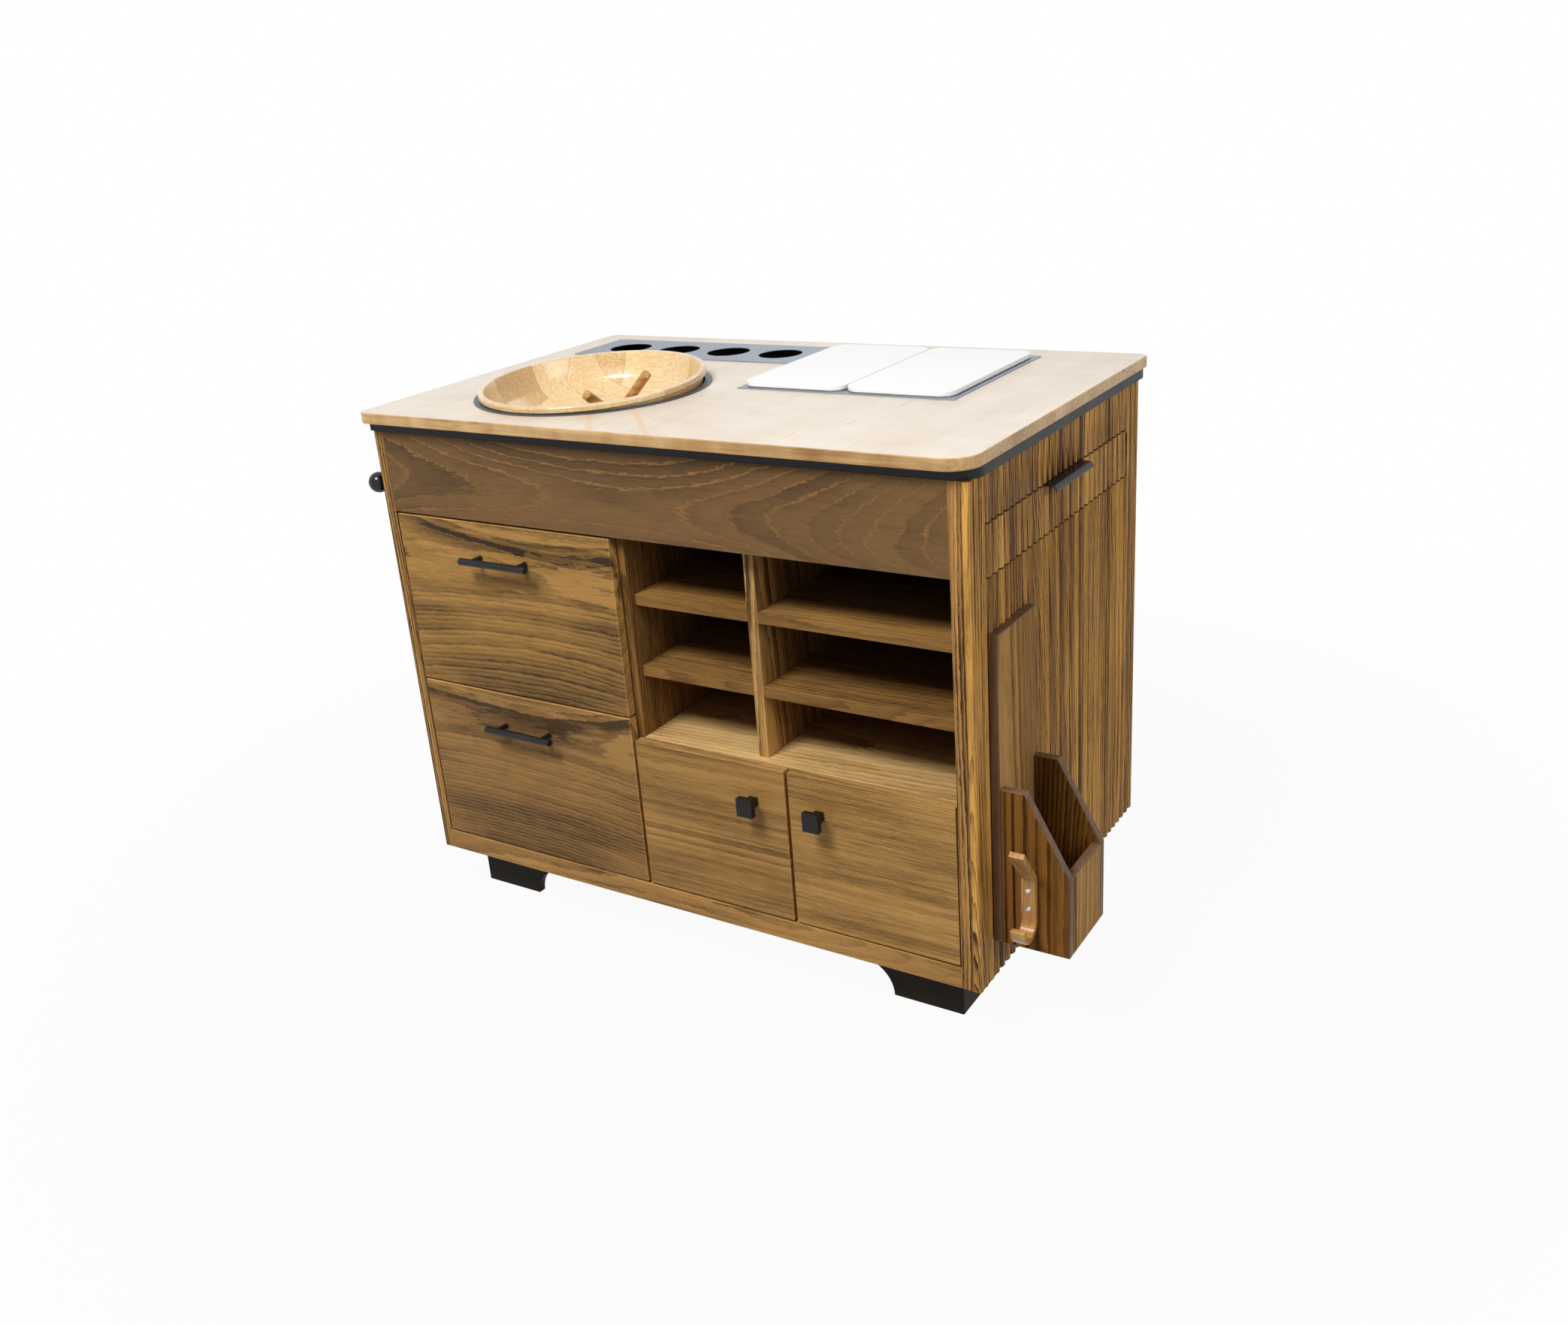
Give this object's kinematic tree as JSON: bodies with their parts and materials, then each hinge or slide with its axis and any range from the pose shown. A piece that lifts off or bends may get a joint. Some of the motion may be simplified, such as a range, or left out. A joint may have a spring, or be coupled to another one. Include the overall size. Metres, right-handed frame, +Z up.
{
  "type": "salad cart",
  "caption": "Wheeled wooden serving cabinet with drawers, doors, pigeonholes and a worktop holding a bowl, bottle holes and covered pans.",
  "frame": {"origin": "the middle of the cart's outline seen from above, on the floor", "axes": "+X along the front from the push bar to the reeded side, +Y from the front to the back, +Z up"},
  "size_m": [1.2637, 0.7055, 0.9283],
  "materials": {
    "pale_worktop": "satin varnish",
    "brown_wood": "satin stain",
    "dark_brown_wood": "satin stain",
    "drawer_ply": "matt",
    "honey_wood": "oiled",
    "black_paint": "satin",
    "black_metal": "satin powder coat",
    "dark_steel": "brushed",
    "zinc_steel": "zinc plated",
    "pan_steel": "satin",
    "white_plastic": "smooth",
    "wheel_rubber": "matt"
  },
  "bodies": {
    "carcass": {"worktop": "pale_worktop", "trim_band": "black_paint", "left_side_board": "brown_wood", "right_side_board": "brown_wood", "reeded_cladding": "brown_wood", "back_board": "brown_wood", "front_rail": "dark_brown_wood", "bottom_rail": "brown_wood", "base_board": "brown_wood", "inner_ceiling": "brown_wood", "main_divider": "brown_wood", "middle_divider": "brown_wood", "shelves": "brown_wood", "pigeonhole_deck": "brown_wood", "drawer_runners": "zinc_steel", "side_drawer_guides": "zinc_steel", "hinge_arms": "zinc_steel", "bracket_feet": "black_paint", "caster_plates": "zinc_steel", "bowl_ring": "dark_steel", "bottle_plate": "dark_steel", "bottle_box": "black_paint", "pan_frame": "dark_steel", "push_bar": "black_metal", "rack_back": "dark_brown_wood", "rack_cheeks": "dark_brown_wood", "rack_pocket": "dark_brown_wood", "double_hook": "honey_wood"},
    "upper_drawer": {"upper_drawer_front": "brown_wood", "upper_drawer_box": "drawer_ply", "upper_handle": "black_metal"},
    "lower_drawer": {"lower_drawer_front": "brown_wood", "lower_drawer_box": "drawer_ply", "lower_handle": "black_metal"},
    "side_drawer": {"side_drawer_front": "brown_wood", "side_drawer_box": "drawer_ply", "side_pull": "black_metal"},
    "left_door_body": {"left_door": "brown_wood", "left_knob": "black_metal", "left_hinge_cups": "zinc_steel"},
    "right_door_body": {"right_door": "brown_wood", "right_knob": "black_metal", "right_hinge_cups": "zinc_steel"},
    "bowl_body": {"bowl": "honey_wood"},
    "spoon_body": {"serving_spoon": "honey_wood"},
    "fork_body": {"serving_fork": "honey_wood"},
    "left_pan_body": {"left_pan": "pan_steel", "left_pan_flange": "pan_steel"},
    "right_pan_body": {"right_pan": "pan_steel", "right_pan_flange": "pan_steel"},
    "left_lid_body": {"left_lid": "white_plastic"},
    "right_lid_body": {"right_lid": "white_plastic"},
    "swivel_front_left": {"fork_front_left": "zinc_steel"},
    "roller_front_left": {"wheel_front_left": "wheel_rubber"},
    "swivel_front_right": {"fork_front_right": "zinc_steel"},
    "roller_front_right": {"wheel_front_right": "wheel_rubber"},
    "swivel_back_left": {"fork_back_left": "zinc_steel"},
    "roller_back_left": {"wheel_back_left": "wheel_rubber"},
    "swivel_back_right": {"fork_back_right": "zinc_steel"},
    "roller_back_right": {"wheel_back_right": "wheel_rubber"}
  },
  "joints": [
    {"name": "upper_drawer_slide", "type": "slide", "parent": "carcass", "child": "upper_drawer", "axis": [0, -1, 0], "range_m": [0, 0.42]},
    {"name": "lower_drawer_slide", "type": "slide", "parent": "carcass", "child": "lower_drawer", "axis": [0, -1, 0], "range_m": [0, 0.42]},
    {"name": "side_drawer_slide", "type": "slide", "parent": "carcass", "child": "side_drawer", "axis": [1, 0, 0], "range_m": [0, 0.36]},
    {"name": "left_door_hinge", "type": "hinge", "parent": "carcass", "child": "left_door_body", "pos_m": [-0.09035, -0.32225, 0.2555], "axis": [0, 0, -1], "range_deg": [0, 86]},
    {"name": "right_door_hinge", "type": "hinge", "parent": "carcass", "child": "right_door_body", "pos_m": [0.4799, -0.32225, 0.2555], "axis": [0, 0, 1], "range_deg": [0, 105]},
    {"name": "bowl_lift", "type": "slide", "parent": "carcass", "child": "bowl_body", "axis": [0, 0, 1], "range_m": [0, 0.3]},
    {"name": "spoon_lift", "type": "slide", "parent": "bowl_body", "child": "spoon_body", "axis": [0, 0, 1], "range_m": [0, 0.2]},
    {"name": "fork_lift", "type": "slide", "parent": "bowl_body", "child": "fork_body", "axis": [0, 0, 1], "range_m": [0, 0.2]},
    {"name": "left_pan_lift", "type": "slide", "parent": "carcass", "child": "left_pan_body", "axis": [0, 0, 1], "range_m": [0, 0.12]},
    {"name": "left_lid_lift", "type": "slide", "parent": "left_pan_body", "child": "left_lid_body", "axis": [0, 0, 1], "range_m": [0, 0.15]},
    {"name": "right_pan_lift", "type": "slide", "parent": "carcass", "child": "right_pan_body", "axis": [0, 0, 1], "range_m": [0, 0.12]},
    {"name": "right_lid_lift", "type": "slide", "parent": "right_pan_body", "child": "right_lid_body", "axis": [0, 0, 1], "range_m": [0, 0.15]},
    {"name": "swivel_front_left", "type": "hinge", "parent": "carcass", "child": "swivel_front_left", "pos_m": [-0.42885, -0.18975, 0.07], "axis": [0, 0, 1], "continuous": true},
    {"name": "roll_front_left", "type": "hinge", "parent": "swivel_front_left", "child": "roller_front_left", "pos_m": [-0.40685, -0.18975, 0.03], "axis": [0, 1, 0], "continuous": true},
    {"name": "swivel_front_right", "type": "hinge", "parent": "carcass", "child": "swivel_front_right", "pos_m": [0.37565, -0.18975, 0.07], "axis": [0, 0, 1], "continuous": true},
    {"name": "roll_front_right", "type": "hinge", "parent": "swivel_front_right", "child": "roller_front_right", "pos_m": [0.39765, -0.18975, 0.03], "axis": [0, 1, 0], "continuous": true},
    {"name": "swivel_back_left", "type": "hinge", "parent": "carcass", "child": "swivel_back_left", "pos_m": [-0.42885, 0.20075, 0.07], "axis": [0, 0, 1], "continuous": true},
    {"name": "roll_back_left", "type": "hinge", "parent": "swivel_back_left", "child": "roller_back_left", "pos_m": [-0.40685, 0.20075, 0.03], "axis": [0, 1, 0], "continuous": true},
    {"name": "swivel_back_right", "type": "hinge", "parent": "carcass", "child": "swivel_back_right", "pos_m": [0.37565, 0.20075, 0.07], "axis": [0, 0, 1], "continuous": true},
    {"name": "roll_back_right", "type": "hinge", "parent": "swivel_back_right", "child": "roller_back_right", "pos_m": [0.39765, 0.20075, 0.03], "axis": [0, 1, 0], "continuous": true}
  ]
}
